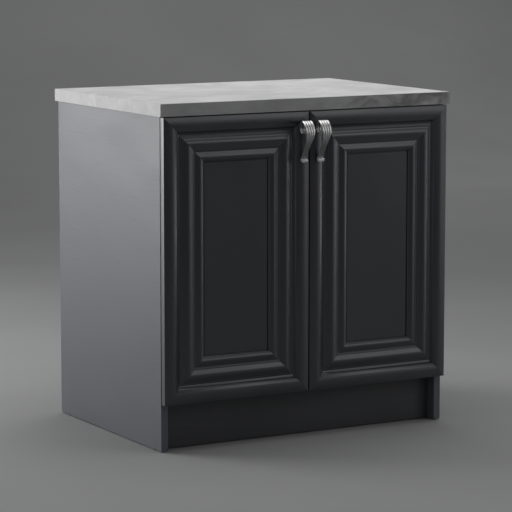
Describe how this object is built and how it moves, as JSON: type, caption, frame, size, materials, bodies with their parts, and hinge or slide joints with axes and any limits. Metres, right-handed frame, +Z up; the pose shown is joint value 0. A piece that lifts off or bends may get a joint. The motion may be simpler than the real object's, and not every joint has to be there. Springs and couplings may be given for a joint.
{
  "type": "kitchen base cabinet",
  "caption": "Two-door kitchen base unit with moulded-frame doors, scroll pulls, concealed hinges, a shelf, a set-back plinth and a square-edged stone-look worktop.",
  "frame": {"origin": "on the floor at the middle of the unit's box", "axes": "+Z up, +X to the right seen from the front, the doors face -Y"},
  "size_m": [0.815, 0.6258, 0.838],
  "materials": {
    "carcass_board": "graphite melamine board, fine dash grain, satin",
    "plinth_board": "dark graphite melamine board, satin",
    "door_paint": "graphite foil over moulded wood board, satin",
    "stone_laminate": "light grey mottled concrete-look laminate, satin",
    "stone_edge": "light grey mottled edge band, satin",
    "chipboard": "raw chipboard",
    "beech": "plain beech",
    "pewter": "antique silver casting with dark recesses",
    "plated_steel": "nickel-plated steel",
    "zinc_casting": "plain zinc casting",
    "black_plastic": "matt black moulded plastic",
    "clear_bumper": "translucent soft bumper"
  },
  "bodies": {
    "carcass": {"side_panel_left": "carcass_board", "side_panel_right": "carcass_board", "bottom_board": "carcass_board", "back_board": "carcass_board", "front_top_rail": "carcass_board", "rear_top_rail": "carcass_board", "shelf": "carcass_board", "shelf_pins": "plated_steel", "plinth_board": "plinth_board", "plinth_brackets": "black_plastic", "bracket_screws": "plated_steel", "floor_glides": "black_plastic", "cam_bolts": "plated_steel", "cam_locks": "zinc_casting", "dowels": "beech", "back_board_screws": "plated_steel", "worktop_core": "chipboard", "worktop_laminate": "stone_laminate", "worktop_front_band": "stone_edge", "worktop_rear_band": "stone_edge", "worktop_left_band": "stone_edge", "worktop_right_band": "stone_edge", "worktop_screws": "plated_steel", "door_bumpers": "clear_bumper", "left_upper_hinge_arm": "plated_steel", "left_lower_hinge_arm": "plated_steel", "left_arm_pins": "plated_steel", "left_hinge_plates": "plated_steel", "right_upper_hinge_arm": "plated_steel", "right_lower_hinge_arm": "plated_steel", "right_arm_pins": "plated_steel", "right_hinge_plates": "plated_steel", "hinge_plate_screws": "plated_steel"},
    "left_hinge_link": {"left_hinge_links": "plated_steel"},
    "left_door": {"left_door_outer_stile": "door_paint", "left_door_inner_stile": "door_paint", "left_door_top_rail": "door_paint", "left_door_bottom_rail": "door_paint", "left_door_panel": "door_paint", "left_pull": "pewter", "left_pull_screws": "plated_steel", "left_hinge_cups": "plated_steel", "left_cup_screws": "plated_steel", "left_cup_pins": "plated_steel"},
    "right_hinge_link": {"right_hinge_links": "plated_steel"},
    "right_door": {"right_door_outer_stile": "door_paint", "right_door_inner_stile": "door_paint", "right_door_top_rail": "door_paint", "right_door_bottom_rail": "door_paint", "right_door_panel": "door_paint", "right_pull": "pewter", "right_pull_screws": "plated_steel", "right_hinge_cups": "plated_steel", "right_cup_screws": "plated_steel", "right_cup_pins": "plated_steel"}
  },
  "joints": [
    {"name": "left_link_swing", "type": "hinge", "parent": "carcass", "child": "left_hinge_link", "pos_m": [-0.3707, -0.25313, 0.461], "axis": [0, 0, 1], "range_deg": [0, 37.35]},
    {"name": "left_door_swing", "type": "hinge", "parent": "left_hinge_link", "child": "left_door", "pos_m": [-0.3883, -0.25723, 0.461], "axis": [0, 0, -1], "range_deg": [0, 132.05]},
    {"name": "right_link_swing", "type": "hinge", "parent": "carcass", "child": "right_hinge_link", "pos_m": [0.3707, -0.25313, 0.461], "axis": [0, 0, -1], "range_deg": [0, 37.35]},
    {"name": "right_door_swing", "type": "hinge", "parent": "right_hinge_link", "child": "right_door", "pos_m": [0.3883, -0.25723, 0.461], "axis": [0, 0, 1], "range_deg": [0, 132.05]}
  ],
  "couplings": [
    {"joint": "left_link_swing", "follows": "left_door_swing", "ratio": 0.28058},
    {"joint": "right_link_swing", "follows": "right_door_swing", "ratio": 0.28058}
  ]
}
